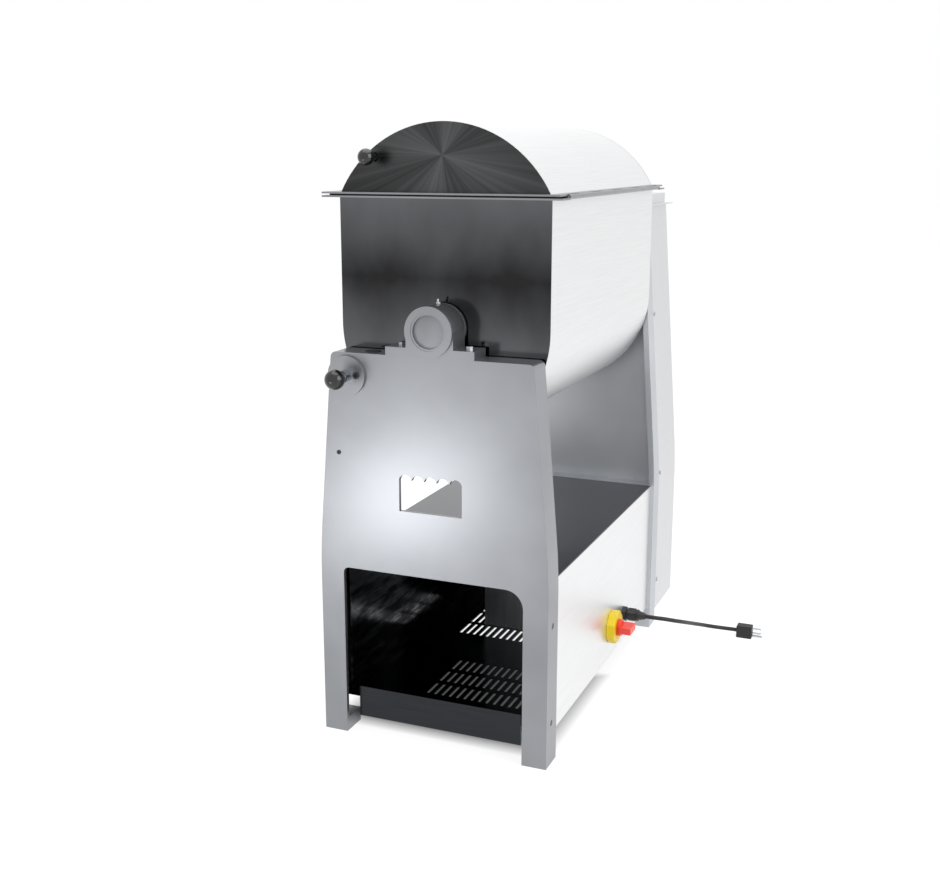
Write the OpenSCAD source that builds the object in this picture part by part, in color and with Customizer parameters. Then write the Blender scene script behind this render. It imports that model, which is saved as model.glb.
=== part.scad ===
/* [Stand] */
// Outer width across the feet
foot_w = 430; // [350:5:560]
// Width of the front frame at its top edge
front_top_w = 370; // [340:5:400]
// Height of the front frame's top edge
front_top_z = 705; // [640:5:800]
// Depth of the front frame casting, front to back
front_t = 52; // [40:1:70]
// Wall of the frame castings
cast_wall = 8; // [6:1:12]
// Width of one leg at the foot
leg_w = 45; // [38:1:60]
// Height of the opening between the front legs
opening_h = 318; // [260:1:360]
// Height of the solid foot block of each front leg
foot_h = 26; // [15:1:40]
// Corner radius of the opening, left side
opening_r_left = 10; // [5:1:40]
// Corner radius of the opening, right side
opening_r_right = 33; // [5:1:50]
// Distance from the front face to the rear frame's front face
rear_y = 706; // [560:2:860]
// Depth of the rear frame casting
rear_t = 44; // [36:1:60]
// Width of the rear frame at its top edge
rear_top_w = 344; // [320:2:380]
// Height of the rear frame's top above the paddle axis
rear_rise = 179; // [150:1:210]

/* [Hand slot] */
// Width of the hand slot
slot_w = 117; // [90:1:150]
// Height of the slot's lower edge
slot_low = 434; // [400:1:480]
// Height of the slot from its lower edge to the finger cusps
slot_h = 56; // [40:1:70]
// Number of finger scallops
scallop_n = 5; // [3:1:7]

/* [Rear cover] */
// Depth of the rear cover behind the rear frame
cover_d = 150; // [130:1:200]
// Height of the cover's lower edge above the floor
cover_low = 30; // [10:1:60]
// Sheet thickness of covers and panels
sheet = 2; // [1:0.5:3]

/* [Base] */
// Inset of the side panels from the legs' outer faces
panel_inset = 8; // [8:1:14]
// Height of the pan floor's underside
pan_z = 46; // [30:1:70]
// Height of the base top plate's upper face
base_top_z = 328; // [300:1:380]
// Gap between the pan's front lip and each leg
lip_gap = 12; // [5:1:40]
// Gap between each side panel and the cabinet's inner lining
lining_gap = 21; // [15:1:30]
// Top of the pan's front lip
lip_top = 80; // [60:1:100]

/* [Tub] */
// Height of the paddle axis above the front frame's top
axis_rise = 43; // [36:1:60]
// Outer width of the tub, twice the radius of its round bottom
tub_w = 383; // [320:1:400]
// Gap between the front frame and the tub's front plate
tub_gap = 6; // [5:1:12]
// Gap between the tub's rear plate and the rear frame
tub_rear_gap = 6; // [5:1:12]
// Height of the tub's rim above the paddle axis
rim_rise = 218; // [190:1:260]
// Overhang of the rim flange at each side
flange_side = 24.5; // [15:0.5:26]
// Overhang of the rim flange at the front
flange_front = 20; // [10:1:30]
// Thickness of the rim flanges
flange_t = 3; // [2:0.5:4]
// Thickness of the gasket between the flanges
gasket_t = 3; // [2:0.5:5]

/* [Lid] */
// Width of the lid's dome at its base
lid_w = 377; // [300:1:383]
// Height of the lid's dome
lid_h = 115; // [80:1:160]
// Diameter of the lid's ball knob
lid_knob_d = 28; // [22:1:36]
// Distance of the lid knob from the middle
lid_knob_x = 124; // [90:1:140]
// Radius of the hinge barrel
hinge_r = 4; // [3.5:0.5:6]
// Number of hinge knuckles
knuckle_n = 9; // [5:2:13]

/* [Bearings] */
// Radius of the tub's front trunnion
trunnion_r = 28.4; // [24:0.1:32]
// Outer radius of the pillow block's arch
block_r = 43; // [38:1:50]
// Half length of the pillow block's foot
block_foot = 81; // [70:1:95]
// Radius of the tub's rear trunnion
rear_trunnion_r = 34; // [28:1:38]
// Running clearance of every shaft in its bore, on the radius
run_gap = 0.05; // [0.02:0.01:0.1]

/* [Paddle] */
// Radius of the paddle shaft
shaft_r = 15; // [12:0.5:18]
// Distance from the blade tips to the outside of the tub
paddle_gap = 13.5; // [10:0.5:40]
// Length of each paddle blade along the shaft
blade_l = 80; // [50:1:100]

/* [Drive] */
// Gear module
gear_m = 3; // [3:0.5:3]
// Teeth of the large gear
bull_teeth = 64; // [56:8:64]
// Teeth of the pinion
pinion_teeth = 16; // [16:8:24]
// Radius of the driven belt pulley
big_pulley_r = 110; // [90:1:112]
// Radius of the motor's belt pulley
small_pulley_r = 30; // [24:1:40]
// Motor axis, distance from the middle
motor_x = 56; // [40:1:70]
// Motor axis, height
motor_z = 185; // [170:1:200]
// Radius of the motor's housing
motor_r = 70; // [60:1:80]
// Length of the motor's housing
motor_l = 150; // [130:1:180]

/* [Index plunger] */
// Distance of the plunger from the middle
plunger_x = 154; // [140:1:156]
// Depth of the plunger below the front frame's top
plunger_drop = 40; // [36:1:60]
// Diameter of the plunger's ball knob
plunger_knob_d = 35; // [28:1:42]
// Distance of the knob's centre from the front face
plunger_knob_y = 45; // [40:1:60]
// Radius of the plunger's rod
plunger_r = 7; // [5:0.5:8]
// Travel of the plunger
plunger_travel = 14; // [8:1:14]

/* [Switch and cord] */
// Distance of the switch from the front face
switch_y = 415; // [300:5:440]
// Height of the switch
switch_z = 110; // [90:1:160]
// Side of the switch plate
switch_w = 62; // [40:1:75]
// Thickness of the switch plate
switch_t = 16; // [10:1:20]
// Height of the switch handle over its plate
handle_h = 30; // [20:1:36]
// Diameter of the power cord
cord_d = 8.5; // [6:0.5:10]

/* [Hidden] */
$fn = 64;
e = 1;                                   // how far a cut runs past the face it opens

// heights and places that follow from the sizes above
foot_half = foot_w/2;
leg_in = foot_half - leg_w;
blend_low = 300;
blend_high = 400;
axis_z = front_top_z + axis_rise;
rear_top_z = axis_z + rear_rise;
rear_back = rear_y + rear_t;
cover_back = rear_back + cover_d;
panel_x = foot_half - panel_inset;       // outer face of the side panels
tub_half = tub_w/2;
paddle_reach = tub_half - paddle_gap;
tub_y0 = front_t + tub_gap;
tub_y1 = rear_y - tub_rear_gap;
rim_z = axis_z + rim_rise;
tub_flange_z = rim_z - flange_t;
lid_z = rim_z + gasket_t + flange_t;     // base of the lid's dome
lid_flange_z = lid_z - flange_t;
lid_r = (lid_w*lid_w/4 + lid_h*lid_h)/(2*lid_h);
lid_cz = lid_z + lid_h - lid_r;
flange_half = tub_half + flange_side;
hinge_x = flange_half - hinge_r;
hinge_z = (tub_flange_z + lid_z)/2;
hinge_y0 = tub_y0 + 20;
hinge_y1 = tub_y1 - 38;
hinge_edge = hinge_x - hinge_r - 2;      // flange edge along the hinge
plunger_z = front_top_z - plunger_drop;
boss_r = 35;
boss_h = 6;
gear_y0 = rear_back + 12;
gear_w = 26;
bull_r = gear_m*bull_teeth/2;
pinion_r = gear_m*pinion_teeth/2;
counter_z = axis_z - bull_r - pinion_r;
belt_y0 = gear_y0 + gear_w + 14;
belt_w = 14;
belt_t = 6;
belt_gap = 0.3;
bearing_r = 46;
counter_r = 12;
counter_house_r = 32;
motor_shaft_r = 12;
web_y = rear_back - cast_wall;           // front face of the rear frame's web
bell_l = 16;
motor_y1 = web_y - bell_l;
motor_y0 = motor_y1 - motor_l;
bolt_r = 3;
leg_bolt_z = [77, 255];
cover_screw_z = [97, 346, 697];
gland_y = 510;
gland_z = 103;
gland_r = 11;
handle_x = panel_x + switch_t + handle_h;
cap_lip = 15;

// the model's own frame puts the middle of the floor area at the origin
mid_x = (handle_x - flange_half)/2;
mid_y = (cover_back - plunger_knob_y - plunger_knob_d/2)/2;
module place() translate([-mid_x, -mid_y, 0]) children();

// ---------- shared shapes ----------
// solid of a drawn outline (x, z), between two places along Y
module yplate(y0, y1) translate([0, y1, 0]) rotate([90, 0, 0]) linear_extrude(y1 - y0) children();
module ycyl(r, y0, y1, x = 0, z = 0, fn = 64)
    translate([x, y0, z]) rotate([-90, 0, 0]) cylinder(r = r, h = y1 - y0, $fn = fn);
module xcyl(r, x0, x1, y = 0, z = 0, fn = 48)
    translate([x0, y, z]) rotate([0, 90, 0]) cylinder(r = r, h = x1 - x0, $fn = fn);
module zcyl(r, z0, z1, x = 0, y = 0, fn = 48) translate([x, y, z0]) cylinder(r = r, h = z1 - z0, $fn = fn);
module yring(ro, ri, y0, y1, x = 0, z = 0) difference() {
    ycyl(ro, y0, y1, x, z);
    ycyl(ri, y0 - e, y1 + e, x, z);
}
// block from its low corner to its high corner
module block(a, b) translate(a) cube(b - a);
function arc(cx, cz, r, a0, a1, n = 5) =
    [for (i = [0:n]) let (a = a0 + (a1 - a0)*i/n) [cx + r*cos(a), cz + r*sin(a)]];
// half width of a casting at height z: straight legs, a short blend, then a straight taper
function side_slope(top_w, top_z) = (top_w/2 - foot_half)/(top_z - (blend_low + blend_high)/2);
function side_half(top_w, top_z, z) =
    let (s = side_slope(top_w, top_z))
    z <= blend_low ? foot_half
    : z < blend_high ? foot_half + s*pow(z - blend_low, 2)/(2*(blend_high - blend_low))
    : foot_half + s*(z - (blend_low + blend_high)/2);
// outline of a casting between two heights, drawn in from its sides by inset
module column_2d(top_w, top_z, z0, z1, inset = 0, r = 0) {
    heights = concat([z0], [for (i = [0:6]) let (z = blend_low + (blend_high - blend_low)*i/6)
        if (z > z0 && z < z1 - r) z], [z1 - r]);
    right = [for (z = heights) [side_half(top_w, top_z, z) - inset, z]];
    top = r > 0 ? arc(side_half(top_w, top_z, z1 - r) - inset - r, z1 - r, r, 15, 90)
                : [];
    half = concat(right, top);
    n = len(half);
    polygon(concat(half, [for (i = [0:n - 1]) [-half[n - 1 - i][0], half[n - 1 - i][1]]]));
}

// round tube swept along points: one ring of sides at each point, square to the path there
function unit(v) = v/norm(v);
function along(p, i) = unit(p[min(i + 1, len(p) - 1)] - p[max(i - 1, 0)]);
function ring(c, t, r, n, up) = let (s = unit(cross(t, up)), u = cross(s, t))
    [for (k = [0:n - 1]) c + r*(s*cos(360*k/n) + u*sin(360*k/n))];
module tube(p, r, sides, up, first = undef, last = undef) {
    n = len(p);
    rings = [for (i = [0:n - 1]) ring(p[i], i == 0 && first != undef ? first
        : i == n - 1 && last != undef ? last : along(p, i), r, sides, up)];
    walls = [for (i = [0:n - 2], k = [0:sides - 1])
        [i*sides + k, (i + 1)*sides + k, (i + 1)*sides + (k + 1) % sides, i*sides + (k + 1) % sides]];
    ends = [[for (k = [0:sides - 1]) k], [for (k = [sides - 1:-1:0]) (n - 1)*sides + k]];
    polyhedron([for (q = rings) each q], concat(walls, ends));
}

// ---------- stand ----------
function front_half(z) = side_half(front_top_w, front_top_z, z);
function rear_half(z) = side_half(rear_top_w, rear_top_z, z);
module opening_2d() polygon(concat([[-leg_in, -e]],
    arc(-leg_in + opening_r_left, opening_h - opening_r_left, opening_r_left, 180, 90),
    arc(leg_in - opening_r_right, opening_h - opening_r_right, opening_r_right, 90, 0, 8), [[leg_in, -e]]));
module hand_slot() {
    pitch = slot_w/scallop_n;
    block([-slot_w/2, -e, slot_low], [slot_w/2, front_t + e, slot_low + slot_h]);
    for (i = [0:scallop_n - 1])
        ycyl(pitch/2, -e, front_t + e, -slot_w/2 + pitch*(i + 0.5), slot_low + slot_h - 2);
}
seat = 0.02;                             // clearance of a seated, unmoving fit
sleeve_r = 11;
guide_r = 18;
plug_r = 14;
plug_x = -117;
plug_y = 27;
block_bolt_x = 62;
block_bolt_y = 25;
leg_bolt_y = 25;

module front_frame() color("#b4b7bc") place() difference() {
    union() {
        difference() {
            union() {
                yplate(0, front_t) column_2d(front_top_w, front_top_z, 0, front_top_z, 0, 10);
                ycyl(boss_r, -boss_h, cast_wall, -plunger_x, plunger_z);
            }
            yplate(cast_wall, front_t + e) column_2d(front_top_w, front_top_z, opening_h + 10,
                front_top_z - cast_wall, cast_wall);
            for (s = [-1, 1])
                block([s > 0 ? leg_in - e : -panel_x, cast_wall, foot_h],
                    [s > 0 ? panel_x : -leg_in + e, front_t + e, opening_h - 6]);
        }
        ycyl(guide_r, cast_wall - e, front_t, -plunger_x, plunger_z);
    }
    yplate(-e, front_t + e) opening_2d();
    hand_slot();
    ycyl(sleeve_r + seat, -boss_h - e, cast_wall + e, -plunger_x, plunger_z);
    ycyl(sleeve_r + 0.5, cast_wall, front_t - cast_wall, -plunger_x, plunger_z);
    ycyl(plunger_r + run_gap, front_t/2, front_t + e, -plunger_x, plunger_z);
    zcyl(plug_r + seat, front_top_z - cast_wall - e, front_top_z + e, plug_x, plug_y);
    for (x = [-block_bolt_x, block_bolt_x])
        zcyl(bolt_r + 0.1, front_top_z - cast_wall - e, front_top_z + e, x, block_bolt_y);
    for (s = [-1, 1], z = leg_bolt_z) {
        xcyl(bolt_r + 0.1, s*foot_half - 20, s*foot_half + 20, leg_bolt_y, z);
        xcyl(5.5, s*foot_half - 3, s*foot_half + 3, leg_bolt_y, z);
    }
    ycyl(4.1, -e, 3, -frame_screw_x, frame_screw_z);
    ycyl(set_screw_r + seat, -boss_h - e, -1, -plunger_x + 20, plunger_z + 2);
}
frame_screw_x = 174;
frame_screw_z = 528;
set_screw_r = 6;
module frame_screw() color("#55585c") place() difference() {
    ycyl(4, -1, 3, -frame_screw_x, frame_screw_z);
    ycyl(2, -1 - e, 1, -frame_screw_x, frame_screw_z, 6);
}
module frame_top_plug() color("#26272a") place()
    zcyl(plug_r, front_top_z - cast_wall, front_top_z + 1, plug_x, plug_y);
module frame_bolts() color("#3a3c40") place() for (s = [-1, 1], z = leg_bolt_z) {
    head_x = s*(foot_half - 2.9);
    xcyl(5, min(head_x, s*(foot_half - 0.4)), max(head_x, s*(foot_half - 0.4)), leg_bolt_y, z);
    xcyl(bolt_r, min(head_x, s*(panel_x - 9)), max(head_x, s*(panel_x - 9)), leg_bolt_y, z);
    xcyl(5.5, min(s*(panel_x - 7), s*(panel_x - sheet - 0.05)),
        max(s*(panel_x - 7), s*(panel_x - sheet - 0.05)), leg_bolt_y, z, 6);
}
lug_y = 10;
module rear_frame() color("#a9adb3") place() difference() {
    union() {
        difference() {
            yplate(rear_y, rear_back) column_2d(rear_top_w, rear_top_z, 0, rear_top_z, 0, 10);
            yplate(rear_y - e, web_y) column_2d(rear_top_w, rear_top_z, base_top_z,
                rear_top_z - 12, 12);
            block([-panel_x, rear_y - e, pan_z], [panel_x, web_y, base_top_z - 10]);
        }
        ycyl(bearing_r + 10, rear_y + 2, rear_back, 0, axis_z);
        ycyl(counter_house_r + 8, web_y - 20, rear_back, 0, counter_z);
        for (s = [-1, 1], z = cover_screw_z) {
            x1 = rear_half(z + 10) - sheet - 0.2;
            block([s > 0 ? x1 - 16 : -x1, rear_back - e, z - 10],
                [s > 0 ? x1 : 16 - x1, rear_back + 2*lug_y, z + 10]);
        }
    }
    block([-leg_in, rear_y - e, -e], [leg_in, rear_back + e, pan_z - cast_wall]);
    ycyl(bearing_r, rear_y, rear_back + e, 0, axis_z);
    ycyl(counter_house_r, rear_y, rear_back + e, 0, counter_z);
    ycyl(motor_shaft_r + 8, rear_y, rear_back + e, motor_x, motor_z);
    for (z = cover_screw_z) xcyl(bolt_r + 0.1, -foot_half, foot_half, rear_back + lug_y, z);
}
module rear_cover() color("#eceded") place() difference() {
    yplate(rear_back, cover_back) column_2d(rear_top_w, rear_top_z, cover_low, rear_top_z);
    yplate(rear_back - e, cover_back - sheet) column_2d(rear_top_w, rear_top_z,
        cover_low + sheet, rear_top_z - sheet, sheet);
    for (z = cover_screw_z)
        xcyl(bolt_r + 0.1, -foot_half - 5, foot_half + 5, rear_back + lug_y, z);
}
module cover_screws() color("#8d9095") place() for (s = [-1, 1], z = cover_screw_z) {
    x0 = rear_half(z);
    head = [s*(x0 + 0.4), s*(x0 + 1.9)];
    xcyl(4.5, min(head), max(head), rear_back + lug_y, z);
    xcyl(bolt_r, min(s*(x0 - 14), head[0]), max(s*(x0 - 14), head[0]), rear_back + lug_y, z);
}
module rear_cover_cap() color("#f0f0f0") place() {
    top_half = rear_top_w/2;
    difference() {
        union() {
            block([-top_half - cap_lip, rear_y, rear_top_z], [top_half + cap_lip, cover_back, rear_top_z + sheet]);
            block([-top_half, rear_y + 4, rear_top_z + sheet], [top_half, cover_back - 12, rear_top_z + 23]);
        }
        block([-top_half + sheet, rear_y + 4 + sheet, rear_top_z + sheet],
            [top_half - sheet, cover_back - 12 - sheet, rear_top_z + 23 - sheet]);
    }
}

// ---------- base ----------
module side_panel(s) {
    x0 = s > 0 ? panel_x - sheet : -panel_x;
    difference() {
        union() {
            block([x0, front_t, pan_z], [x0 + sheet, rear_y, base_top_z - sheet]);
            block([x0, cast_wall + 2, pan_z], [x0 + sheet, front_t, opening_h - 18]);
            block([x0, rear_y, pan_z], [x0 + sheet, web_y - 4, base_top_z - 18]);
        }
        for (z = leg_bolt_z) xcyl(bolt_r + 0.1, x0 - e, x0 + sheet + e, leg_bolt_y, z);
        if (s > 0) {
            xcyl(9, x0 - e, x0 + sheet + e, switch_y, switch_z);
            xcyl(gland_r + seat, x0 - e, x0 + sheet + e, gland_y, gland_z);
        }
    }
}
module base_side_right() color("#ececed") place() side_panel(1);
module base_side_left() color("#ececed") place() side_panel(-1);
module base_top() color("#4a4c50") place()
    block([-panel_x, front_t, base_top_z - sheet], [panel_x, rear_y, base_top_z]);
vent_w = 6;
vent_pitch = 14.75;
vent_shift = 2*vent_pitch;               // the front group sits to the right of the middle
module vents(n, y0, l, rows, pitch) for (i = [0:n - 1], j = [0:rows - 1])
    block([(i - (n - 1)/2)*vent_pitch - vent_w/2, y0 + j*pitch, pan_z - e],
        [(i - (n - 1)/2)*vent_pitch + vent_w/2, y0 + j*pitch + l, pan_z + sheet + e]);
lip_y = 28;
module base_pan() color("#34363a") place() {
    inner = panel_x - sheet;
    lip_half = leg_in - lip_gap;
    difference() {
        union() {
            block([-inner, front_t + 2, pan_z], [inner, web_y - 2, pan_z + sheet]);
            block([-lip_half, lip_y, pan_z], [lip_half, front_t + 2, pan_z + sheet]);
            block([-lip_half, lip_y, pan_z - 24], [lip_half, lip_y + sheet, lip_top]);
        }
        translate([vent_shift, 0, 0]) vents(13, 112, 47, 3, 59);
        vents(17, 410, 57, 3, 66);
    }
}
box_x = -87;
box_y = 470;
lining_x = panel_x - lining_gap;         // inner face of the lining
module cabinet_lining() color("#2c2d30") place() for (s = [-1, 1]) {
    x0 = s > 0 ? lining_x : -lining_x - sheet;
    block([x0, front_t + 2, pan_z + sheet], [x0 + sheet, rear_y, base_top_z - sheet]);
}
module motor_box() color("#8b8e92") place() {
    z0 = pan_z + sheet;
    z1 = base_top_z - sheet;
    block([box_x, box_y, z0], [lining_x, box_y + sheet, z1]);
    block([box_x, box_y + sheet, z0], [box_x + sheet, rear_y, z1]);
}

// ---------- front bearing ----------
bush_r = trunnion_r + run_gap;
bush_out = bush_r + 3.5;
foot_t = 14.5;
foot_d = 50;
block_y0 = -5;
module pillow_block() color("#a6a9ae") place() difference() {
    union() {
        block([-block_foot, 0, front_top_z], [block_foot, foot_d, front_top_z + foot_t]);
        block([-block_r, block_y0 + 5, front_top_z], [block_r, foot_d, axis_z]);
        ycyl(block_r, block_y0, foot_d, 0, axis_z, 96);
    }
    ycyl(bush_out + seat, block_y0 - e, foot_d + e, 0, axis_z);
    for (x = [-block_bolt_x, block_bolt_x])
        zcyl(bolt_r + 0.1, front_top_z - e, front_top_z + foot_t + e, x, block_bolt_y);
    zcyl(3 + seat, axis_z + block_r - 7, axis_z + block_r + e, 0, 38);
}
module pillow_bush() color("#a9acb1") place() yring(bush_out, bush_r, block_y0 + 1, foot_d, 0, axis_z);
module pillow_bolts() color("#6f7277") place() for (x = [-block_bolt_x, block_bolt_x]) {
    zcyl(bolt_r, front_top_z - 14, front_top_z + foot_t + 1, x, block_bolt_y);
    zcyl(6, front_top_z + foot_t, front_top_z + foot_t + 5, x, block_bolt_y, 6);
}
module grease_nipple() color("#777a7e") place() {
    zcyl(3, axis_z + block_r - 6.5, axis_z + block_r + 3, 0, 38);
    zcyl(4, axis_z + block_r + 0.3, axis_z + block_r + 3, 0, 38, 6);
    zcyl(2, axis_z + block_r + 3, axis_z + block_r + 8, 0, 38);
}

// ---------- index plunger ----------
collar_y = front_t - cast_wall - 0.3;    // rear face of the rod's collar, against its stop
sleeve_y = -22;
knob_y = -plunger_knob_y;
module at_plunger() translate([-plunger_x, 0, plunger_z]) children();
module index_sleeve() color("#b9bcc1") place() at_plunger()
    yring(sleeve_r, plunger_r + run_gap, sleeve_y, cast_wall);
module index_set_screw() color("#2b2c2f") place() difference() {
    ycyl(set_screw_r, -boss_h - 2, -1, -plunger_x + 20, plunger_z + 2);
    ycyl(3, -boss_h - 2 - e, -boss_h + 1, -plunger_x + 20, plunger_z + 2, 6);
}
module index_rod() color("#c3c6ca") place() at_plunger() {
    ycyl(plunger_r, knob_y + plunger_knob_d/2 - 4, tub_y0 - 0.5);
    ycyl(sleeve_r - 0.5, collar_y - 4, collar_y);
}
module index_knob() color("#101011") place() at_plunger() difference() {
    translate([0, knob_y, 0]) sphere(d = plunger_knob_d, $fn = 64);
    ycyl(plunger_r + seat, knob_y + plunger_knob_d/2 - 4, 0);
}
coil_r = 8.7;
coil_wire = 1.6;
coil_turns = 5;
coil_steps = 16;
module index_spring() color("#9c9fa3") place() at_plunger() {
    y0 = cast_wall + coil_wire/2 + 0.2;
    y1 = collar_y - 4 - coil_wire/2 - 0.2;
    n = coil_turns*coil_steps;
    tube([for (i = [0:n]) let (a = 360*i/coil_steps) [coil_r*cos(a), y0 + (y1 - y0)*i/n, coil_r*sin(a)]],
        coil_wire/2, 6, [0, 1, 0]);
}

// ---------- drive ----------
module rear_bearing() color("#8f9297") place()
    yring(bearing_r - seat, rear_trunnion_r + run_gap, rear_y + 4, rear_back + 4, 0, axis_z);
module countershaft_bearing() color("#8f9297") place()
    yring(counter_house_r - seat, counter_r + run_gap, web_y - 22, rear_back + 8, 0, counter_z);
module motor_housing() color("#4d6f86") place() union() {
    yring(motor_r - 4, 48, motor_y0, motor_y1, motor_x, motor_z);
    for (a = [0:15:345]) translate([motor_x, 0, motor_z]) rotate([0, a, 0])
        block([motor_r - 6, motor_y0 + 4, -1.5], [motor_r + 2, motor_y1 - 4, 1.5]);
}
fan_gap = 30;
module motor_end_bells() color("#3f5f75") place() difference() {
    union() {
        ycyl(motor_r, motor_y1, web_y, motor_x, motor_z);
        ycyl(motor_r, motor_y0 - bell_l, motor_y0, motor_x, motor_z);
        yring(motor_r, motor_r - 2, motor_y0 - bell_l - fan_gap, motor_y0 - bell_l, motor_x, motor_z);
        yring(motor_r, 24, motor_y0 - bell_l - fan_gap - 2, motor_y0 - bell_l - fan_gap, motor_x, motor_z);
    }
    ycyl(motor_shaft_r + run_gap, motor_y0 - bell_l - e, web_y + e, motor_x, motor_z);
}
module motor_terminal_box() color("#3f5f75") place()
    block([motor_x - 32, motor_y0 + 30, motor_z + motor_r + 2.2],
        [motor_x + 32, motor_y0 + 100, motor_z + motor_r + 34]);
module motor_rotor() color("#9ea1a5") place() {
    ycyl(motor_shaft_r, motor_y0 - bell_l - fan_gap + 4, belt_y0 + belt_w + 5, motor_x, motor_z);
    ycyl(45, motor_y0 + 12, motor_y1 - 12, motor_x, motor_z);
}
module motor_fan() color("#2e3033") place() difference() {
    union() {
        ycyl(22, motor_y0 - bell_l - fan_gap + 6, motor_y0 - bell_l - 4, motor_x, motor_z);
        for (a = [0:45:315]) translate([motor_x, 0, motor_z]) rotate([0, a, 0])
            block([18, motor_y0 - bell_l - fan_gap + 6, -1.5], [motor_r - 6, motor_y0 - bell_l - 4, 1.5]);
    }
    ycyl(motor_shaft_r + seat, motor_y0 - bell_l - fan_gap, motor_y0, motor_x, motor_z);
}
module pulley(r, bore) difference() {
    union() {
        ycyl(r, belt_y0 - 3, belt_y0 + belt_w + 3, 0, 0, 96);
        for (y = [belt_y0 - 3, belt_y0 + belt_w]) ycyl(r + 5, y, y + 3, 0, 0, 96);
    }
    ycyl(bore + seat, belt_y0 - 4, belt_y0 + belt_w + 4);
    if (r > 80) for (a = [0:60:300])
        ycyl(r*0.22, belt_y0 - 4, belt_y0 + belt_w + 4, r*0.6*cos(a), r*0.6*sin(a));
}
module driven_pulley() color("#7d8085") place() translate([0, 0, counter_z]) pulley(big_pulley_r, counter_r);
module motor_pulley() color("#7d8085") place() translate([motor_x, 0, motor_z])
    pulley(small_pulley_r, motor_shaft_r);
module belt_loop(grow) hull() {
    translate([0, counter_z]) circle(r = big_pulley_r + grow, $fn = 96);
    translate([motor_x, motor_z]) circle(r = small_pulley_r + grow, $fn = 96);
}
module drive_belt() color("#1d1d1f") place() yplate(belt_y0 + 0.5, belt_y0 + belt_w - 0.5) difference() {
    belt_loop(belt_gap + belt_t);
    belt_loop(belt_gap);
}
module countershaft() color("#aeb1b5") place()
    ycyl(counter_r, web_y - 24, belt_y0 + belt_w + 5, 0, counter_z);

// involute teeth: the half angle of a tooth at radius r, thinned by the backlash
pressure = 20;
backlash = 0.35;
function inv(a) = tan(a)*180/PI - a;
function tooth_half(n, r) = let (rp = gear_m*n/2, rb = rp*cos(pressure), a = r > rb ? acos(rb/r) : 0)
    90/n + inv(pressure) - inv(a) - backlash/rp*90/PI;
function tooth(n, c) = let (rp = gear_m*n/2, root = rp - 1.25*gear_m, tip = rp + 0.95*gear_m,
    rb = rp*cos(pressure), r0 = max(root + 0.4, rb), steps = [for (i = [0:4]) r0 + (tip - r0)*i/4])
    concat([[root*cos(c - tooth_half(n, r0)), root*sin(c - tooth_half(n, r0))]],
        [for (r = steps) [r*cos(c - tooth_half(n, r)), r*sin(c - tooth_half(n, r))]],
        [for (i = [4:-1:0]) let (r = steps[i]) [r*cos(c + tooth_half(n, r)), r*sin(c + tooth_half(n, r))]],
        [[root*cos(c + tooth_half(n, r0)), root*sin(c + tooth_half(n, r0))]]);
module gear(n, turn) polygon([for (k = [0:n - 1]) each tooth(n, turn + k*360/n)]);
module bull_gear() color("#9b9ea3") place() difference() {
    translate([0, 0, axis_z]) yplate(gear_y0, gear_y0 + gear_w) gear(bull_teeth, -90);
    ycyl(shaft_r + seat, gear_y0 - e, gear_y0 + gear_w + e, 0, axis_z);
    for (a = [0:60:300])
        ycyl(bull_r*0.22, gear_y0 - e, gear_y0 + gear_w + e, bull_r*0.56*cos(a), axis_z + bull_r*0.56*sin(a));
}
module pinion() color("#8c8f94") place() difference() {
    translate([0, 0, counter_z]) yplate(gear_y0 - 1, gear_y0 + gear_w + 1)
        gear(pinion_teeth, 90 + 180/pinion_teeth);
    ycyl(counter_r + seat, gear_y0 - 2, gear_y0 + gear_w + 2, 0, counter_z);
}

// ---------- paddles ----------
shaft_y0 = 32;
arm_r = 8;
arm_angles = [45, 225, 135, 315];
arm_span = tub_y1 - tub_y0;
function arm_y(i) = tub_y0 + arm_span*(0.112 + 0.2335*i);
module at_arm(i) translate([0, arm_y(i), axis_z]) rotate([0, -arm_angles[i], 0]) children();
module paddle_shaft() color("#c4c7cb") place() difference() {
    ycyl(shaft_r, shaft_y0, gear_y0 + gear_w + 4, 0, axis_z);
    for (i = [0:3]) at_arm(i) xcyl(arm_r + seat, shaft_r - 8, shaft_r + 9);
}
module paddle_arms() color("#c4c7cb") place() for (i = [0:3]) at_arm(i)
    xcyl(arm_r, shaft_r - 8, paddle_reach - 50);
module paddle_blades() color("#c9ccd0") place() for (i = [0:3]) at_arm(i)
    rotate([35*(i % 2 == 0 ? 1 : -1), 0, 0])
        block([paddle_reach - 50, -blade_l/2, -2.5], [paddle_reach, blade_l/2, 2.5]);

// ---------- tub ----------
module tub_outline(inset = 0, top = rim_z) union() {
    translate([0, axis_z]) circle(r = tub_half - inset, $fn = 128);
    translate([-tub_half + inset, axis_z]) square([2*(tub_half - inset), top - axis_z]);
}
module tub_shell() color("#eeeeee") place() yplate(tub_y0 + sheet, tub_y1 - sheet) difference() {
    tub_outline();
    tub_outline(sheet, rim_z + e);
}
seal_r = 20;
index_hole_r = plunger_r + 0.6;
module tub_front_plate() color("#6c6e71") place() difference() {
    yplate(tub_y0, tub_y0 + sheet) tub_outline();
    ycyl(seal_r, tub_y0 - e, tub_y0 + sheet + e, 0, axis_z);
    ycyl(index_hole_r, tub_y0 - e, tub_y0 + sheet + e, -plunger_x, plunger_z);
}
module tub_rear_plate() color("#9ea1a5") place() difference() {
    yplate(tub_y1 - sheet, tub_y1) tub_outline();
    ycyl(seal_r, tub_y1 - sheet - e, tub_y1 + e, 0, axis_z);
}
module hinge_cut(z0, z1) block([hinge_edge, hinge_y0, z0 - e], [flange_half + e, hinge_y1, z1 + e]);
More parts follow.
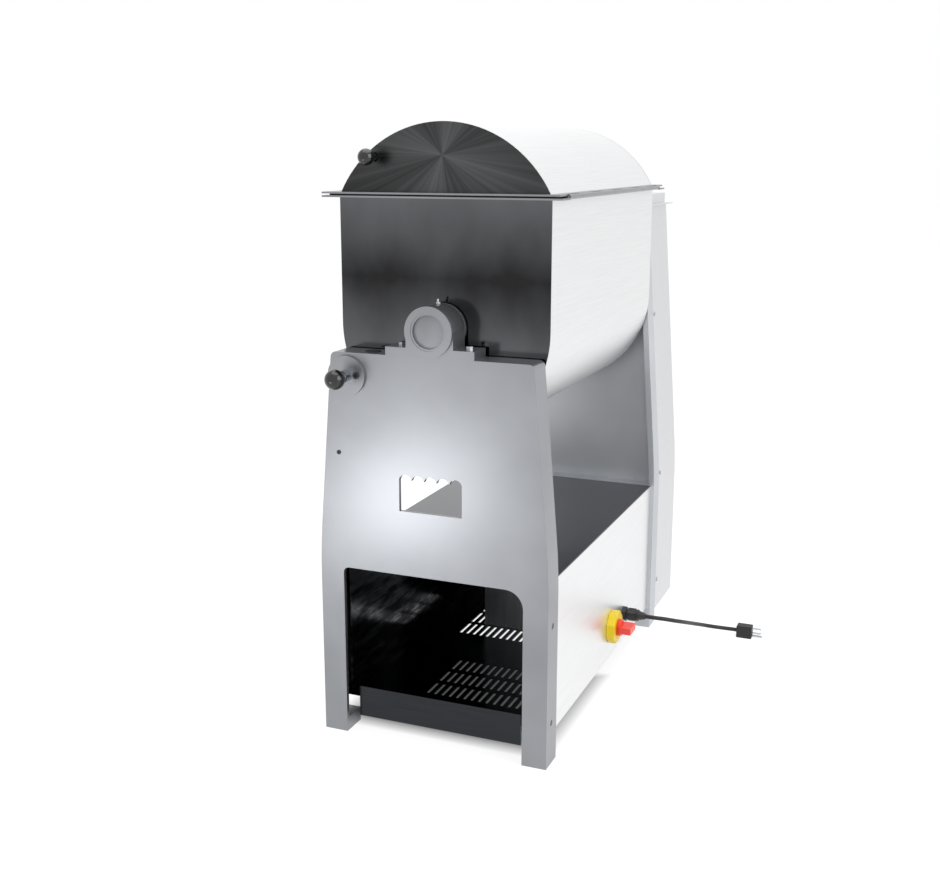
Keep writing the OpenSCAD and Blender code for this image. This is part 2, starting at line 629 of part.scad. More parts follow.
module tub_flange() color("#d9dadb") place() difference() {
    block([-flange_half, tub_y0 - flange_front, tub_flange_z], [flange_half, tub_y1, rim_z]);
    block([-tub_half, tub_y0, tub_flange_z - e], [tub_half, tub_y1 + e, rim_z + e]);
    hinge_cut(tub_flange_z, rim_z);
}
module front_trunnion() color("#b3b5b9") place() difference() {
    union() {
        ycyl(trunnion_r, 1, tub_y0, 0, axis_z);
        ycyl(axis_rise - 1, tub_y0 - tub_gap + 1, tub_y0, 0, axis_z);
    }
    ycyl(seal_r, shaft_y0 - 2, tub_y0 + e, 0, axis_z);
}
module rear_trunnion() color("#a0a3a7") place() difference() {
    union() {
        ycyl(rear_trunnion_r, tub_y1, rear_back + 2, 0, axis_z);
        ycyl(rear_trunnion_r + 14, tub_y1, tub_y1 + tub_rear_gap - 2, 0, axis_z);
    }
    ycyl(seal_r, tub_y1 - e, rear_back + 2 + e, 0, axis_z);
}
module shaft_seals() color("#e4e2da") place() {
    yring(seal_r - seat, shaft_r + run_gap, shaft_y0, tub_y0 + sheet + 4, 0, axis_z);
    yring(seal_r - seat, shaft_r + run_gap, tub_y1 - sheet - 4, rear_back, 0, axis_z);
}
pin_r = 1.5;
knuckle_l = (hinge_y1 - hinge_y0)/knuckle_n;
// every second knuckle, with its leaf between two heights
module knuckles(first, leaf_z0, leaf_z1) difference() {
    for (i = [first:2:knuckle_n - 1]) {
        y0 = hinge_y0 + i*knuckle_l + 0.25;
        y1 = y0 + knuckle_l - 0.5;
        ycyl(hinge_r, y0, y1, hinge_x, hinge_z);
        block([hinge_edge, y0, leaf_z0], [hinge_x, y1, leaf_z1]);
    }
    ycyl(pin_r + run_gap, hinge_y0 - e, hinge_y1 + e, hinge_x, hinge_z);
}
module tub_hinge_knuckles() color("#c9cacc") place() knuckles(0, hinge_z - hinge_r, rim_z);
module hinge_pin() color("#8d9094") place() ycyl(pin_r, hinge_y0, hinge_y1, hinge_x, hinge_z);

// ---------- lid ----------
module dome(inset) intersection() {
    translate([0, lid_cz]) circle(r = lid_r - inset, $fn = 160);
    translate([-lid_r, lid_z]) square([2*lid_r, lid_r]);
}
module lid_shell() color("#f0f0f0") place() yplate(tub_y0 + sheet, tub_y1 - sheet) difference() {
    dome(0);
    intersection() {
        translate([0, lid_cz]) circle(r = lid_r - sheet, $fn = 160);
        translate([-lid_r, lid_z - e]) square([2*lid_r, lid_r]);
    }
}
module lid_end_plates() color("#77797c") place() {
    yplate(tub_y0, tub_y0 + sheet) dome(0);
    yplate(tub_y1 - sheet, tub_y1) dome(0);
}
module lid_flange() color("#d9dadb") place() difference() {
    block([-flange_half, tub_y0 - flange_front, lid_flange_z], [hinge_x - 0.5, tub_y1, lid_z]);
    block([-lid_w/2 + 5, tub_y0 + sheet, lid_flange_z - e], [lid_w/2 - 5, tub_y1 - sheet, lid_z + e]);
    hinge_cut(lid_flange_z, lid_z);
}
gasket_in = 10;
module lid_gasket() color("#3b3c3f") place() difference() {
    block([-flange_half + gasket_in, tub_y0 - flange_front + gasket_in, rim_z + 0.2],
        [hinge_edge - 4, tub_y1, lid_flange_z]);
    block([-lid_w/2 + 5, tub_y0 + sheet, rim_z], [lid_w/2 - 5, tub_y1 - sheet - 4, lid_flange_z + e]);
}
module lid_hinge_knuckles() color("#c9cacc") place() knuckles(1, lid_flange_z, hinge_z + hinge_r);
lid_knob_z = lid_z + lid_h/2;
module lid_knob() color("#101011") place() translate([-lid_knob_x, 0, lid_knob_z]) {
    translate([0, tub_y0 - 32, 0]) sphere(d = lid_knob_d, $fn = 64);
    ycyl(5, tub_y0 - 32, tub_y0);
    ycyl(9, tub_y0 - 5, tub_y0);
}

// ---------- switch, gland and cord ----------
module switch_plate() color("#e4c80a") place() translate([0, switch_y, switch_z]) difference() {
    rotate([22.5, 0, 0]) xcyl(switch_w/2/cos(22.5), panel_x, panel_x + switch_t, 0, 0, 8);
    xcyl(5.5, panel_x - e, panel_x + switch_t + e);
}
module switch_knob() color("#e8402f") place() translate([0, switch_y, switch_z]) {
    x0 = panel_x + switch_t + 0.3;
    xcyl(5.4, panel_x - 8, x0);
    xcyl(17, x0, x0 + 7);
    block([x0 + 7, -19, -6.5], [panel_x + switch_t + handle_h, 19, 6.5]);
}
gland_l = 48;
exit_x = panel_x + gland_l;
module cable_gland() color("#1b1b1d") place() translate([0, gland_y, gland_z]) {
    xcyl(gland_r, panel_x - 10, panel_x + 26);
    xcyl(16, panel_x, panel_x + 8, 0, 0, 6);
    xcyl(14.5, panel_x + 12, panel_x + 27, 0, 0, 6);
    xcyl(12, panel_x + 27, panel_x + 33);
    translate([panel_x + 33, 0, 0]) rotate([0, 90, 0]) cylinder(r1 = 10, r2 = 6, h = gland_l - 33, $fn = 48);
    xcyl(13, panel_x - 8, panel_x - sheet, 0, 0, 6);
}
// the cord's route from the gland's end face: straight out, down, and on to the plug on the floor
cord_points = [[0, 0, 0], [20, 0, 0], [38, 6, -2], [52, 20, -8], [61, 40, -16], [66, 60, -24],
    [69, 80, -32], [71, 100, -40], [73, 120, -48], [76, 140, -56], [79, 160, -64], [84, 180, -72],
    [93, 199, -80], [107, 214, -86], [124, 222, -89], [138, 224, -89.5], [150, 224, -89.5]];
cord_sides = 10;
module power_cord() color("#1b1b1d") place() translate([exit_x, gland_y, gland_z])
    tube(cord_points, cord_d/2, cord_sides, [0, 0, 1], [1, 0, 0], [1, 0, 0]);
plug_l = 33;
plug_size = [22, 27];
blade_out = 22;
module at_plug() translate([exit_x, gland_y, gland_z] + cord_points[len(cord_points) - 1]) children();
module plug_body() color("#161617") place() at_plug()
    block([0, -plug_size[0]/2, -plug_size[1]/2], [plug_l, plug_size[0]/2, plug_size[1]/2]);
module plug_blades() color("#b7b9bc") place() at_plug() {
    for (z = [-1.5, 8.5]) block([plug_l, -4.5, z - 0.8], [plug_l + blade_out - 3, 3.5 - 1, z + 0.8]);
    xcyl(2.4, plug_l, plug_l + blade_out, 0, -8.5);
}

front_frame();
rear_frame();
rear_cover();
rear_cover_cap();
base_side_right();
base_side_left();
base_top();
base_pan();
cabinet_lining();
motor_box();
pillow_block();
pillow_bush();
pillow_bolts();
grease_nipple();
frame_bolts();
cover_screws();
frame_top_plug();
frame_screw();
index_sleeve();
index_set_screw();
index_rod();
index_knob();
index_spring();
rear_bearing();
countershaft_bearing();
motor_housing();
motor_end_bells();
motor_rotor();
motor_fan();
motor_pulley();
motor_terminal_box();
drive_belt();
countershaft();
pinion();
driven_pulley();
bull_gear();
paddle_shaft();
paddle_arms();
paddle_blades();
tub_shell();
tub_front_plate();
tub_rear_plate();
tub_flange();
front_trunnion();
rear_trunnion();
shaft_seals();
tub_hinge_knuckles();
hinge_pin();
lid_shell();
lid_end_plates();
lid_flange();
lid_gasket();
lid_hinge_knuckles();
lid_knob();
switch_plate();
switch_knob();
cable_gland();
power_cord();
plug_body();
plug_blades();
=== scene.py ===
# %% [markdown]
# # A tilting-tub paddle mixer
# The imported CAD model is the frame: every piece is already at its real size and place. This file gives the
# pieces their finishes, models the power cord as a round lead, and sets a studio round them.
# Everything is in metres.

# %% The frame
import math

import bpy
import numpy as np
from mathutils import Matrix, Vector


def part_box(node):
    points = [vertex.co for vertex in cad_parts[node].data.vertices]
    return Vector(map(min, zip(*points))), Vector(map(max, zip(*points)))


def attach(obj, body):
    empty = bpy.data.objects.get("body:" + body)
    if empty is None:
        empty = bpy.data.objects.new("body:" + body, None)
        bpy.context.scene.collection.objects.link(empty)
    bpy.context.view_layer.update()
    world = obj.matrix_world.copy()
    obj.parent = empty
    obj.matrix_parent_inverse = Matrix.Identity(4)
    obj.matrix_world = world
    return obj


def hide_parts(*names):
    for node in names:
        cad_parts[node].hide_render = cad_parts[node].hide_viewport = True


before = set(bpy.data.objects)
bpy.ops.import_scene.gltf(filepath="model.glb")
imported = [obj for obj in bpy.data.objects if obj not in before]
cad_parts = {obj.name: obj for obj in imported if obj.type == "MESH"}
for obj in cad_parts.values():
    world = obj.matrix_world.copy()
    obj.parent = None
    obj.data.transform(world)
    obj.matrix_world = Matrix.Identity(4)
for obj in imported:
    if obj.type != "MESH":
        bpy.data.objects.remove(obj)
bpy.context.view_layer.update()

# %% [markdown]
# ## Where things are
# The machine was drawn with X = 0 in its middle plane, Y = 0 on the front casting's face and Z = 0 on the floor.
# The frame's origin is elsewhere, so one helper turns a place on the machine into the frame. Its two offsets come
# from the boxes of the two castings.

# %% Places on the machine
casting_low, casting_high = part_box("front_frame")
MIDDLE = (casting_low.x + casting_high.x) / 2
REAR_FRAME_Y = 0.706  # from the front casting's face to the rear casting's
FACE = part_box("rear_frame")[0].y - REAR_FRAME_Y


def place(x, y, z):
    """A point given in millimetres on the machine, as metres in the frame."""
    return (MIDDLE + x / 1000, FACE + y / 1000, z / 1000)


print("middle plane at", round(MIDDLE, 4), "front face at", round(FACE, 4))

# %% [markdown]
# ## The camera
# A product view: slightly above the machine, off to its right, with a 47 mm lens so that uprights stay nearly
# upright.

# %% Camera
LENS_MM = 47.07
SENSOR_MM = 36.0
PITCH_DOWN = 13.104
YAW_LEFT = 22.523
camera_data = bpy.data.cameras.new("studio_camera")
camera_data.lens = LENS_MM
camera_data.sensor_width = SENSOR_MM
camera_data.sensor_fit = "HORIZONTAL"
camera_data.clip_end = 100
camera = bpy.data.objects.new("studio_camera", camera_data)
camera.location = place(834.5, -1835.3, 1038.6)
camera.rotation_euler = (math.radians(90 - PITCH_DOWN), 0, math.radians(YAW_LEFT))
bpy.context.collection.objects.link(camera)
bpy.context.scene.camera = camera

# %% [markdown]
# ## Colours and nodes
# Colours are written as sRGB hex, the way a paint chart gives them, and turned to linear light. One small helper
# adds a node, sets its inputs and links it.

# %% Colour and node helpers


def linear(hex_colour):
    """sRGB hex to linear RGBA: c/12.92 below 0.04045, else ((c + 0.055)/1.055)^2.4."""
    h = hex_colour.lstrip("#")
    rgb = [int(h[i : i + 2], 16) / 255 for i in (0, 2, 4)]
    return [c / 12.92 if c <= 0.04045 else ((c + 0.055) / 1.055) ** 2.4 for c in rgb] + [1.0]


def node(tree, kind, inputs=None, **settings):
    """Adds one node. inputs maps a socket's name to a value or to an output that is linked to it."""
    made = tree.nodes.new(kind)
    for name, value in settings.items():
        setattr(made, name, value)
    for name, value in (inputs or {}).items():
        socket = made.inputs[name]
        if isinstance(value, bpy.types.NodeSocket):
            tree.links.new(value, socket)
        else:
            socket.default_value = value
    return made


def new_material(name):
    """An empty node material with its Principled shader: (material, tree, shader)."""
    material = bpy.data.materials.new(name)
    material.use_nodes = True
    tree = material.node_tree
    return material, tree, tree.nodes["Principled BSDF"]


def object_coords(tree, scale=(1, 1, 1), centre=(0, 0, 0)):
    """Object coordinates, moved so that centre is the origin and stretched by scale."""
    coords = node(tree, "ShaderNodeTexCoord")
    moved = node(tree, "ShaderNodeVectorMath", {0: coords.outputs["Object"], 1: centre}, operation="SUBTRACT")
    return node(
        tree, "ShaderNodeVectorMath", {0: moved.outputs[0], 1: scale}, operation="MULTIPLY"
    ).outputs[0]


def noise(tree, vector, scale, detail=2.0):
    """Noise from 0 to 1 whose cells are about 1/scale metres wide."""
    return node(
        tree, "ShaderNodeTexNoise", {"Vector": vector, "Scale": scale, "Detail": detail}
    ).outputs[0]


def between(tree, factor, low, high):
    """A factor from 0 to 1 spread over low to high, for roughness."""
    return node(
        tree, "ShaderNodeMapRange", {"Value": factor, "To Min": low, "To Max": high}
    ).outputs["Result"]


def tints(tree, factor, dark, light, low=0.3, high=0.7):
    """A colour that runs from dark to light as the factor runs from low to high."""
    ramp = node(tree, "ShaderNodeValToRGB", {"Fac": factor})
    ramp.color_ramp.elements[0].position = low
    ramp.color_ramp.elements[0].color = linear(dark)
    ramp.color_ramp.elements[1].position = high
    ramp.color_ramp.elements[1].color = linear(light)
    return ramp.outputs["Color"]


def bump(tree, height, strength, distance):
    """A normal from a height; distance is in metres."""
    return node(
        tree, "ShaderNodeBump", {"Height": height, "Strength": strength, "Distance": distance}
    ).outputs["Normal"]


def wire(tree, source, shader, socket):
    """Links an output to one of the shader's inputs."""
    tree.links.new(source, shader.inputs[socket])


def dress(nodes, material):
    """Gives CAD nodes a material in place of their own."""
    for name in nodes:
        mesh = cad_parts[name].data
        mesh.materials.clear()
        mesh.materials.append(material)

# %% [markdown]
# ## The power cord
# A rubber mains lead, 8.5 mm thick. It leaves the gland straight, bends down and back under its own weight and ends
# in its plug on the floor. The route is a list of given points; a curve carries a round section along it.

# %% Cord
CORD_D = 0.0085
EXIT = place(255, 510, 103)
ROUTE_MM = [
    (0, 0, 0), (20, 0, 0), (38, 6, -2), (52, 20, -8), (61, 40, -16), (66, 60, -24), (69, 80, -32),
    (71, 100, -40), (73, 120, -48), (76, 140, -56), (79, 160, -64), (84, 180, -72), (93, 199, -80),
    (107, 214, -86), (124, 222, -89), (138, 224, -89.5), (150, 224, -89.5),
]
route = np.array(EXIT) + np.array(ROUTE_MM) / 1000


def smooth_path(points, per_span=6):
    """Catmull-Rom curve through the points: each span is the cubic whose end slopes are half the chord between
    the neighbours on either side."""
    p = np.vstack([2 * points[0] - points[1], points, 2 * points[-1] - points[-2]])
    t = np.linspace(0, 1, per_span, endpoint=False)[:, None]
    spans = [
        0.5 * (2 * b + (c - a) * t + (2 * a - 5 * b + 4 * c - d) * t**2 + (3 * b - a - 3 * c + d) * t**3)
        for a, b, c, d in zip(p[:-3], p[1:-2], p[2:-1], p[3:])
    ]
    return np.vstack(spans + [points[-1:]])


cord_line = smooth_path(route)


def curve_tube(name, points, radius):
    """A round tube along points, as a poly curve with a bevel."""
    data = bpy.data.curves.new(name, "CURVE")
    data.dimensions = "3D"
    data.bevel_depth = radius
    data.bevel_resolution = 4
    data.use_fill_caps = True
    spline = data.splines.new("POLY")
    spline.points.add(len(points) - 1)
    spline.points.foreach_set("co", np.column_stack([points, np.ones(len(points))]).ravel())
    made = bpy.data.objects.new(name, data)
    bpy.context.collection.objects.link(made)
    return made


power_cord = curve_tube("rubber_mains_lead", cord_line, CORD_D / 2)

# %% [markdown]
# ## Metals
# Four finishes carry the machine. The castings are satin aluminium with a fine cast grain. The panels, tub and lid
# skins are satin stainless sheet, nearly white under soft light. The tub's front plate is polished stainless, with
# its fall from light to dark and back painted into its colour as a reflection. The lid's front plate is turned,
# with brush lines that run out from its middle and a star of bright sectors painted into its colour as a highlight.

# %% Cast aluminium
GRAIN_M = 0.0016  # a cast and peened grain is about 1.6 mm


def cast_aluminium(name, base_dark="#8a8c90", base_light="#95979b", rough=0.3):
    """Satin cast aluminium: grain from noise in the bump, faint clouding in colour and roughness."""
    material, tree, shader = new_material(name)
    coords = object_coords(tree)
    clouds = noise(tree, coords, 6, 3)
    grain = noise(tree, coords, 1 / GRAIN_M, 3)
    wire(tree, tints(tree, clouds, base_dark, base_light), shader, "Base Color")
    wire(tree, between(tree, clouds, rough - 0.04, rough + 0.06), shader, "Roughness")
    wire(tree, bump(tree, grain, 0.2, 0.0002), shader, "Normal")
    shader.inputs["Metallic"].default_value = 0.85
    return material


casting = cast_aluminium("cast_aluminium_satin")
rear_casting = cast_aluminium("cast_aluminium_rear", "#bfc2c6", "#cbcdd1", 0.5)
rough_cast = cast_aluminium("cast_aluminium_rough", "#6f7175", "#a6a8ac", 0.6)
dress(["front_frame", "pillow_block", "pillow_bush"], casting)
dress(["rear_frame"], rear_casting)

# %% Rounded edges


def soften(nodes, width, segments=2):
    """Rounds the sharp edges of CAD pieces with live modifiers: a weld joins the imported corners, then a bevel
    of the given width in metres takes every edge sharper than 40 degrees."""
    for name in nodes:
        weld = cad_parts[name].modifiers.new("weld", "WELD")
        weld.merge_threshold = 1e-6
        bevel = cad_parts[name].modifiers.new("bevel", "BEVEL")
        bevel.width = width
        bevel.segments = segments
        bevel.limit_method = "ANGLE"
        bevel.angle_limit = math.radians(40)
        bevel.harden_normals = True


soften(["front_frame", "rear_frame"], 0.0015)
soften(["pillow_block"], 0.001)
soften(["switch_plate", "switch_knob", "plug_body"], 0.0015)

# %% Sheet metals


def brushed(name, dark, light, rough, along=(1, 300, 300), metallic=1.0, strength=0.05):
    """Brushed or satin sheet: noise stretched along one axis gives fine lines in colour and bump, and broader noise
    varies the roughness.
    """
    material, tree, shader = new_material(name)
    lines = noise(tree, object_coords(tree, scale=along), 4, 4)
    clouds = noise(tree, object_coords(tree), 5, 2)
    wire(tree, tints(tree, lines, dark, light), shader, "Base Color")
    wire(tree, between(tree, clouds, rough - 0.03, rough + 0.05), shader, "Roughness")
    wire(tree, bump(tree, lines, strength, 0.0001), shader, "Normal")
    shader.inputs["Metallic"].default_value = metallic
    return material


satin_sheet = brushed("stainless_satin_sheet", "#e3e4e5", "#ededee", 0.38, along=(300, 2, 300))
cover_sheet = brushed("stainless_satin_cover", "#d2d3d5", "#dddde0", 0.42, along=(300, 300, 2))
dark_sheet = brushed("stainless_dark_polished", "#66686b", "#6e7074", 0.2, along=(300, 2, 300), strength=0.02)
pan_sheet = brushed("stainless_pan_polished", "#2e3033", "#393b3e", 0.16, along=(2, 300, 300), strength=0.02)
box_sheet = brushed("stainless_brushed_box", "#84878b", "#a3a6aa", 0.3, along=(300, 300, 2), strength=0.1)
machined = brushed("steel_turned", "#b2b5b9", "#c8cace", 0.25, along=(60, 900, 60))
ground = brushed("steel_ground", "#8c8f94", "#a2a5a9", 0.3, along=(60, 900, 60))
dress(["base_side_right", "base_side_left", "tub_shell", "lid_shell", "tub_rear_plate"], satin_sheet)
edge_sheet = brushed("stainless_flange_edge", "#85878a", "#96989b", 0.3, along=(2, 300, 300))
dress(["tub_flange", "lid_flange", "tub_hinge_knuckles", "lid_hinge_knuckles"], edge_sheet)
dress(["rear_cover", "rear_cover_cap"], cover_sheet)
dress(["base_top"], dark_sheet)
dress(["base_pan"], pan_sheet)
dress(["motor_box"], box_sheet)
dress(["index_sleeve", "index_rod", "pillow_bolts", "grease_nipple", "plug_blades", "paddle_arms"], machined)
dress(["paddle_shaft", "paddle_blades", "index_spring", "hinge_pin", "cover_screws"], machined)
dress(["rear_bearing", "countershaft_bearing", "rear_trunnion", "countershaft", "motor_rotor"], ground)
dress(["bull_gear", "pinion", "driven_pulley", "motor_pulley"], ground)
dress(["front_trunnion"], rough_cast)

# %% Polished lining of the cabinet


def lining(name):
    """Dark polished sheet with long pale streaks that are a painted reflection, thickest near the top: noise
    stretched along the sheet, weighed by height and cut to streaks."""
    material, tree, shader = new_material(name)
    height = node(tree, "ShaderNodeSeparateXYZ", {0: object_coords(tree)}).outputs["Z"]
    reflection_rise = node(
        tree, "ShaderNodeMapRange",
        {"Value": height, "From Min": 0.12, "From Max": 0.31, "To Min": -0.04, "To Max": 0.2},
    ).outputs["Result"]
    streaks = noise(tree, object_coords(tree, scale=(1, 6, 34)), 2.5, 4)
    painted_reflection = node(tree, "ShaderNodeMath", {0: streaks, 1: reflection_rise}, operation="ADD").outputs[0]
    # painted reflection: the pale streaks in the colour, more of them higher up, stand in for bright surroundings
    # mirrored in the sheet
    wire(tree, tints(tree, painted_reflection, "#2a2b2e", "#a6a8ab", 0.44, 0.66), shader, "Base Color")
    wire(tree, between(tree, streaks, 0.08, 0.2), shader, "Roughness")
    shader.inputs["Metallic"].default_value = 1.0
    return material


dress(["cabinet_lining"], lining("stainless_lining_polished"))

# %% Polished front plate of the tub


def polished_plate(name):
    """Mirror-polished plate: a smooth shader whose colour carries a painted reflection, darkest at half height and
    lighter towards both ends, with faint blotches and vertical buffing lines."""
    material, tree, shader = new_material(name)
    coords = object_coords(tree)
    height = node(tree, "ShaderNodeSeparateXYZ", {0: coords}).outputs["Z"]
    offset = node(tree, "ShaderNodeMath", {0: height, 1: 0.83}, operation="SUBTRACT").outputs[0]
    away = node(tree, "ShaderNodeMath", {0: offset}, operation="ABSOLUTE").outputs[0]
    painted_reflection_fall = node(
        tree, "ShaderNodeMapRange", {"Value": away, "From Min": 0.0, "From Max": 0.14}
    ).outputs["Result"]
    blotch = noise(tree, object_coords(tree, scale=(1, 1, 0.6)), 9, 3)
    mixed = node(tree, "ShaderNodeMath", {0: painted_reflection_fall, 1: blotch}, operation="ADD").outputs[0]
    spread = node(tree, "ShaderNodeMath", {0: mixed, 1: 0.5}, operation="MULTIPLY").outputs[0]
    # painted reflection: the colour is darkest at half height and lighter above and below, in place of the plate
    # mirroring its surroundings
    wire(tree, tints(tree, spread, "#2c2c2d", "#66676a", 0.22, 0.8), shader, "Base Color")
    buff = noise(tree, object_coords(tree, scale=(260, 1, 3)), 4, 3)
    wire(tree, between(tree, buff, 0.10, 0.19), shader, "Roughness")
    shader.inputs["Metallic"].default_value = 1.0
    return material


dress(["tub_front_plate"], polished_plate("stainless_polished_plate"))

# %% Turned end plates of the lid


def turned_plate(name, centre):
    """Radially brushed plate: brush lines are noise on the angle round the centre. The bright sectors are a painted
    highlight, a cosine of four times that angle, because a turned plate flashes in opposite sectors; it is painted
    stronger near the centre."""
    material, tree, shader = new_material(name)
    coords = object_coords(tree, centre=centre)
    parts = node(tree, "ShaderNodeSeparateXYZ", {0: coords})
    angle = node(
        tree, "ShaderNodeMath", {0: parts.outputs["Z"], 1: parts.outputs["X"]}, operation="ARCTAN2"
    ).outputs[0]
    turned = node(tree, "ShaderNodeCombineXYZ", {"X": angle})
    lines = noise(tree, turned.outputs[0], 9, 3)
    turns = node(tree, "ShaderNodeMath", {0: angle, 1: 4.0}, operation="MULTIPLY").outputs[0]
    tilted = node(tree, "ShaderNodeMath", {0: turns, 1: 1.2}, operation="ADD").outputs[0]
    flash = node(tree, "ShaderNodeMath", {0: tilted}, operation="COSINE").outputs[0]
    # painted highlight: the star of bright sectors, strongest near the centre, is drawn into the colour in place of
    # the flash of a turned plate
    painted_sector_highlight = node(
        tree, "ShaderNodeMapRange", {"Value": flash, "From Min": -1.0, "To Min": 0.25, "To Max": 1.0}
    ).outputs["Result"]
    radius = node(tree, "ShaderNodeVectorMath", {0: coords}, operation="LENGTH").outputs["Value"]
    highlight_near_centre = node(
        tree, "ShaderNodeMapRange", {"Value": radius, "From Max": 0.17, "To Min": 0.34, "To Max": 0.08}
    ).outputs["Result"]
    painted_highlight = node(tree, "ShaderNodeMath", {0: painted_sector_highlight, 1: highlight_near_centre}, operation="MULTIPLY").outputs[0]
    lined = node(tree, "ShaderNodeMath", {0: lines, 1: 0.5}, operation="MULTIPLY").outputs[0]
    total = node(tree, "ShaderNodeMath", {0: painted_highlight, 1: lined}, operation="ADD").outputs[0]
    wire(tree, tints(tree, total, "#303031", "#696a6b", 0.2, 0.8), shader, "Base Color")
    wire(tree, between(tree, lines, 0.22, 0.36), shader, "Roughness")
    shader.inputs["Metallic"].default_value = 1.0
    return material


dress(["lid_end_plates"], turned_plate("stainless_turned_plate", place(0, 58, 1033)))

# %% [markdown]
# ## Plastics, rubber and paint
# Glossy black phenolic for the ball knobs, moulded ABS for the isolator, rubber for the lead and belt, hammered
# paint on the motor. Each has a fine surface break-up so that it doesn't look like a flat colour.

# %% Plastics and rubber


def moulded(name, dark, light, rough, grain_m=0.0008, strength=0.1, coat=0.0):
    """Moulded plastic, rubber or paint: a narrow colour variation, and grain of the given width in the bump."""
    material, tree, shader = new_material(name)
    coords = object_coords(tree)
    wire(tree, tints(tree, noise(tree, coords, 25, 3), dark, light), shader, "Base Color")
    grain = noise(tree, coords, 1 / grain_m, 2)
    wire(tree, between(tree, grain, rough - 0.03, rough + 0.04), shader, "Roughness")
    wire(tree, bump(tree, grain, strength, 0.0001), shader, "Normal")
    shader.inputs["Coat Weight"].default_value = coat
    return material


phenolic = moulded("phenolic_gloss_black", "#070708", "#0c0c0d", 0.12, strength=0.02, coat=0.4)
nylon = moulded("nylon_black", "#141416", "#1c1c1f", 0.38)
rubber = moulded("rubber_black", "#131315", "#1b1b1d", 0.5)
yellow = moulded("abs_yellow", "#e2c300", "#e9cb0c", 0.35)
red = moulded("abs_red", "#e8402f", "#ef4c3b", 0.35)
paint = moulded("hammered_paint_blue_grey", "#46606f", "#54707f", 0.35, 0.003, 0.5)
acetal = moulded("acetal_white", "#dcdad2", "#e6e4dd", 0.4)
oxide = moulded("steel_black_oxide", "#2c2d30", "#3a3b3e", 0.4)
dress(["index_knob", "lid_knob"], phenolic)
dress(["frame_top_plug", "cable_gland", "motor_fan"], nylon)
dress(["power_cord", "plug_body", "drive_belt", "lid_gasket"], rubber)
dress(["switch_plate"], yellow)
dress(["switch_knob"], red)
dress(["motor_housing", "motor_end_bells", "motor_terminal_box"], paint)
dress(["shaft_seals"], acetal)
dress(["frame_bolts", "index_set_screw", "frame_screw"], oxide)

# %% The cord's material and body
power_cord.data.materials.append(rubber)
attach(power_cord, "stand")
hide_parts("power_cord")

# %% [markdown]
# ## Studio
# A pale floor and an even white room. The camera and shiny metal see plain white behind the machine, while the
# floor keeps a faint shadow and carries a painted shadow under the front of the base. Two broad soft lamps shape
# the metal, and a small low one puts the bright pool on the front casting.

# %% Floor and world
floor_mesh = bpy.data.meshes.new("studio_floor")
REACH = 12.0
floor_mesh.from_pydata(
    [(-REACH, -REACH, 0), (REACH, -REACH, 0), (REACH, REACH, 0), (-REACH, REACH, 0)], [], [(0, 1, 2, 3)]
)
floor = bpy.data.objects.new("studio_floor", floor_mesh)
bpy.context.collection.objects.link(floor)
floor_material, floor_tree, floor_shader = new_material("paper_white_floor")
floor_shader.inputs["Base Color"].default_value = linear("#f4f4f4")
floor_shader.inputs["Roughness"].default_value = 0.9
floor_path = node(floor_tree, "ShaderNodeLightPath")
floor_seen = node(
    floor_tree, "ShaderNodeMath",
    {0: floor_path.outputs["Is Camera Ray"], 1: floor_path.outputs["Is Glossy Ray"]}, operation="MAXIMUM",
)
# painted shadow: under the front of the base the paper's glow is cut to almost nothing, by the distance outside a
# box there, soft over 5 cm
floor_place = node(
    floor_tree, "ShaderNodeVectorMath",
    {0: node(floor_tree, "ShaderNodeTexCoord").outputs["Object"], 1: place(-10, 230, 0)}, operation="SUBTRACT",
)
floor_away = node(floor_tree, "ShaderNodeVectorMath", {0: floor_place.outputs[0]}, operation="ABSOLUTE")
beyond = node(
    floor_tree, "ShaderNodeVectorMath", {0: floor_away.outputs[0], 1: (0.17, 0.15, 0)}, operation="SUBTRACT"
)
floor_past = node(floor_tree, "ShaderNodeSeparateXYZ", {0: beyond.outputs[0]})
outside_painted_shadow = node(
    floor_tree, "ShaderNodeMath", {0: floor_past.outputs["X"], 1: floor_past.outputs["Y"]}, operation="MAXIMUM"
)
strength = node(
    floor_tree, "ShaderNodeMapRange",
    {"Value": outside_painted_shadow.outputs[0], "From Min": 0.0, "From Max": 0.05, "To Min": 0.06, "To Max": 0.84},
)
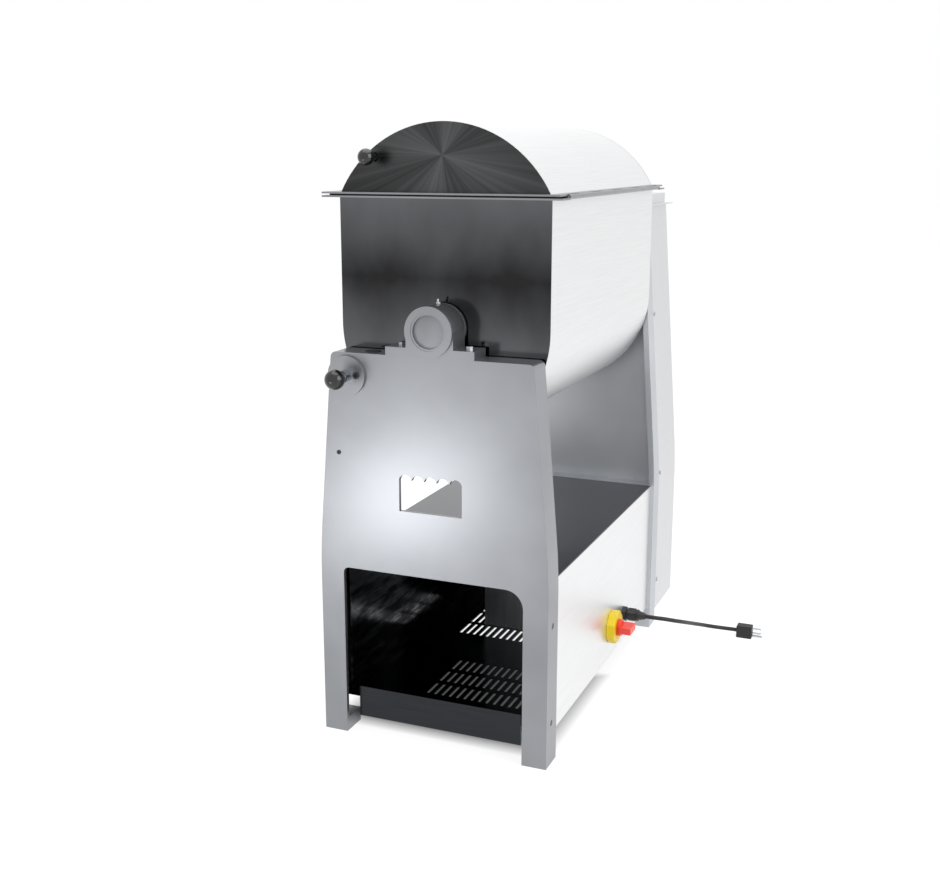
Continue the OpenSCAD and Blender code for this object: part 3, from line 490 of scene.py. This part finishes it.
# seen directly or in metal, the paper glows almost white and a weak diffuse part keeps the shadow
glow = node(
    floor_tree, "ShaderNodeEmission", {"Color": (1, 1, 1, 1), "Strength": strength.outputs["Result"]}
)
weak = node(floor_tree, "ShaderNodeBsdfDiffuse", {"Color": (0.3, 0.3, 0.3, 1)})
glowing = node(floor_tree, "ShaderNodeAddShader", {0: glow.outputs[0], 1: weak.outputs[0]})
floor_mix = node(
    floor_tree, "ShaderNodeMixShader",
    {0: floor_seen.outputs[0], 1: floor_shader.outputs[0], 2: glowing.outputs[0]},
)
floor_tree.links.new(floor_mix.outputs[0], floor_tree.nodes["Material Output"].inputs["Surface"])
floor_mesh.materials.append(floor_material)

world = bpy.data.worlds.new("studio")
bpy.context.scene.world = world
world.use_nodes = True
room = world.node_tree
background = room.nodes["Background"]
background.inputs["Color"].default_value = (1, 1, 1, 1)
background.inputs["Strength"].default_value = 0.6
seen = node(room, "ShaderNodeBackground", {"Color": (1, 1, 1, 1), "Strength": 1.0})
room_path = node(room, "ShaderNodeLightPath")
direct = node(
    room, "ShaderNodeMath",
    {0: room_path.outputs["Is Camera Ray"], 1: room_path.outputs["Is Transmission Ray"]}, operation="MAXIMUM",
)
direct_or_glossy = node(
    room, "ShaderNodeMath", {0: direct.outputs[0], 1: room_path.outputs["Is Glossy Ray"]}, operation="MAXIMUM"
)
mixed_world = node(
    room, "ShaderNodeMixShader", {0: direct_or_glossy.outputs[0], 1: background.outputs[0], 2: seen.outputs[0]}
)
room.links.new(mixed_world.outputs[0], room.nodes["World Output"].inputs["Surface"])


def lamp(name, at_mm, aim_mm, width, height, watts):
    """A soft area lamp at one place on the machine's own scale, aimed at another."""
    data = bpy.data.lights.new(name, "AREA")
    data.shape = "RECTANGLE"
    data.size = width
    data.size_y = height
    data.energy = watts
    made = bpy.data.objects.new(name, data)
    at = np.array(place(*at_mm))
    aim = np.array(place(*aim_mm))
    forward = (aim - at) / np.linalg.norm(aim - at)
    made.location = at
    made.rotation_euler = (
        math.acos(-forward[2]), 0, math.atan2(forward[1], forward[0]) - math.pi / 2
    )
    made.visible_camera = False
    bpy.context.collection.objects.link(made)
    return made


lamp("key_right", (2600, -200, 1700), (0, 350, 600), 2.2, 2.2, 40)
lamp("top_soft", (0, 300, 3000), (0, 350, 500), 2.5, 2.5, 30)
lamp("front_low", (-585, -1150, 95), (-30, 0, 450), 0.3, 0.25, 2.1)

bpy.context.scene.view_settings.view_transform = "Standard"
